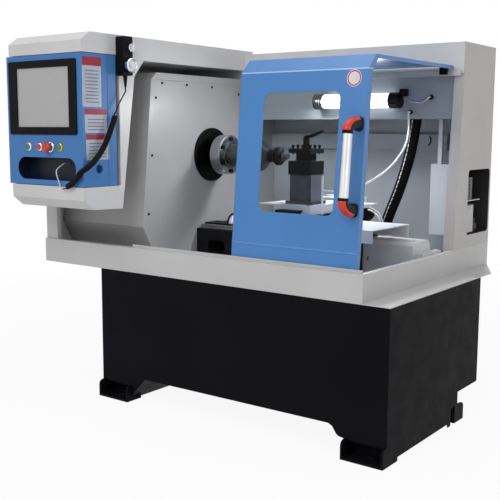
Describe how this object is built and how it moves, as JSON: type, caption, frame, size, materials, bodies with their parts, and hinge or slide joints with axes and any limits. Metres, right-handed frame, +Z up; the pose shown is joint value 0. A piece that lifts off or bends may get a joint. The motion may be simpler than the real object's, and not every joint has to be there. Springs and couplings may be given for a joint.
{
  "type": "wheel rim lathe",
  "caption": "Bed lathe for turning car wheel faces: spindle with mandrel, slides with tool post, sliding door, swivelling control box, tray and enclosure on a cabinet",
  "frame": {"origin": "on the floor, at the middle of the machine's outline", "axes": "+X to the right along the spindle, +Y to the back, +Z up; the operator stands at -Y"},
  "size_m": [1.7, 1.37, 1.486],
  "materials": {
    "black_steel": "satin",
    "grey_sheet": "satin",
    "pale_sheet": "satin",
    "white_sheet": "satin",
    "blue_sheet": "satin",
    "iron": "matt",
    "steel": "brushed",
    "bright": "polished",
    "black_plastic": "matt",
    "white_plastic": "satin",
    "red_plastic": "gloss",
    "green_plastic": "gloss",
    "black_rubber": "matt",
    "clear": "clear",
    "screen_face": "matt",
    "bellows": "matt"
  },
  "bodies": {
    "machine": {"base_cabinet": "black_steel", "mounting_feet": "black_steel", "chip_tray": "grey_sheet", "left_end_panel": "grey_sheet", "rear_panel": "grey_sheet", "right_side_panel": "grey_sheet", "header_box": "grey_sheet", "lamp_panel": "pale_sheet", "inner_back_panel": "pale_sheet", "electrics_housing": "pale_sheet", "electrics_units": "black_plastic", "headstock_cover": "grey_sheet", "spindle_face_panel": "grey_sheet", "cover_screws": "iron", "headstock_casting": "iron", "spindle_cover_ring": "black_steel", "bed": "iron", "guide_rails": "steel", "way_bellows": "bellows", "bed_end_cover": "grey_sheet", "door_rail": "steel", "control_bracket": "grey_sheet", "pivot_pins": "steel", "mpg_pendant": "black_plastic", "mpg_cord": "black_rubber", "lamp_tube": "white_plastic", "lamp_caps": "black_plastic", "lamp_flex": "steel", "energy_hose": "black_rubber", "air_cable": "white_plastic"},
    "spindle": {"spindle_shaft": "steel", "mandrel": "steel", "centring_cone": "iron", "flange_screws": "iron"},
    "nut": {"hand_nut": "black_plastic"},
    "saddle": {"saddle": "iron", "saddle_pipes": "white_plastic", "saddle_cover": "white_sheet", "cross_motor": "black_plastic"},
    "screw": {"z_ball_screw": "steel"},
    "cross": {"cross_slide": "pale_sheet", "tool_riser": "iron"},
    "post": {"toolpost_block": "iron", "toolpost_bolts": "steel"},
    "lever": {"clamp_lever": "iron"},
    "door": {"door_panel": "blue_sheet", "door_window": "clear", "door_grip": "steel", "door_grip_brackets": "black_plastic", "door_gliders": "black_plastic"},
    "control": {"control_box": "blue_sheet", "screen_bezel": "black_plastic", "screen": "screen_face", "button_collars": "bright"},
    "start": {"start_button": "green_plastic"},
    "stop": {"stop_button": "red_plastic"},
    "estop": {"emergency_stop": "red_plastic"},
    "feed": {"feed_button": "green_plastic"},
    "wheel": {"mpg_handwheel": "bright"},
    "selector": {"mpg_knob": "bright"}
  },
  "joints": [
    {"name": "door_slide", "type": "slide", "parent": "machine", "child": "door", "axis": [1, 0, 0], "range_m": [-0.5, 0.03]},
    {"name": "spindle_turn", "type": "hinge", "parent": "machine", "child": "spindle", "pos_m": [-0.3, 0.132, 1.012], "axis": [1, 0, 0], "continuous": true},
    {"name": "nut_turn", "type": "hinge", "parent": "spindle", "child": "nut", "pos_m": [0, 0.132, 1.012], "axis": [1, 0, 0], "continuous": true},
    {"name": "saddle_slide", "type": "slide", "parent": "machine", "child": "saddle", "axis": [1, 0, 0], "range_m": [-0.3, 0.1], "deforming": ["way_bellows", "energy_hose", "air_cable"]},
    {"name": "screw_turn", "type": "hinge", "parent": "machine", "child": "screw", "pos_m": [0.064, 0.272, 0.64], "axis": [1, 0, 0], "range_deg": [-10800, 3600]},
    {"name": "cross_slide", "type": "slide", "parent": "saddle", "child": "cross", "axis": [0, 1, 0], "range_m": [-0.12, 0.012]},
    {"name": "post_index", "type": "hinge", "parent": "cross", "child": "post", "pos_m": [0.256, -0.015, 1], "axis": [0, 0, 1], "continuous": true},
    {"name": "lever_turn", "type": "hinge", "parent": "cross", "child": "lever", "pos_m": [0.256, -0.015, 1.06], "axis": [0, 0, 1], "range_deg": [0, 75]},
    {"name": "box_swivel", "type": "hinge", "parent": "machine", "child": "control", "pos_m": [-0.366, -0.574, 1.15], "axis": [0, 0, 1], "range_deg": [0, 60], "deforming": ["mpg_cord"]},
    {"name": "start_press", "type": "slide", "parent": "control", "child": "start", "axis": [0, 1, 0], "range_m": [0, 0.004], "stiffness_N_per_m": 800, "springref_m": -0.003},
    {"name": "stop_press", "type": "slide", "parent": "control", "child": "stop", "axis": [0, 1, 0], "range_m": [0, 0.004], "stiffness_N_per_m": 800, "springref_m": -0.003},
    {"name": "feed_press", "type": "slide", "parent": "control", "child": "feed", "axis": [0, 1, 0], "range_m": [0, 0.004], "stiffness_N_per_m": 800, "springref_m": -0.003},
    {"name": "estop_press", "type": "slide", "parent": "control", "child": "estop", "axis": [0, 1, 0], "range_m": [0, 0.005], "stiffness_N_per_m": 800, "springref_m": -0.003},
    {"name": "handwheel_turn", "type": "hinge", "parent": "machine", "child": "wheel", "pos_m": [-0.3, -0.441, 1.368], "axis": [1, 0, 0], "continuous": true},
    {"name": "selector_turn", "type": "hinge", "parent": "machine", "child": "selector", "pos_m": [-0.3, -0.439, 1.436], "axis": [1, 0, 0], "range_deg": [-60, 60]}
  ],
  "couplings": [
    {"joint": "screw_turn", "follows": "saddle_slide", "rad_per_m": 628.32}
  ]
}
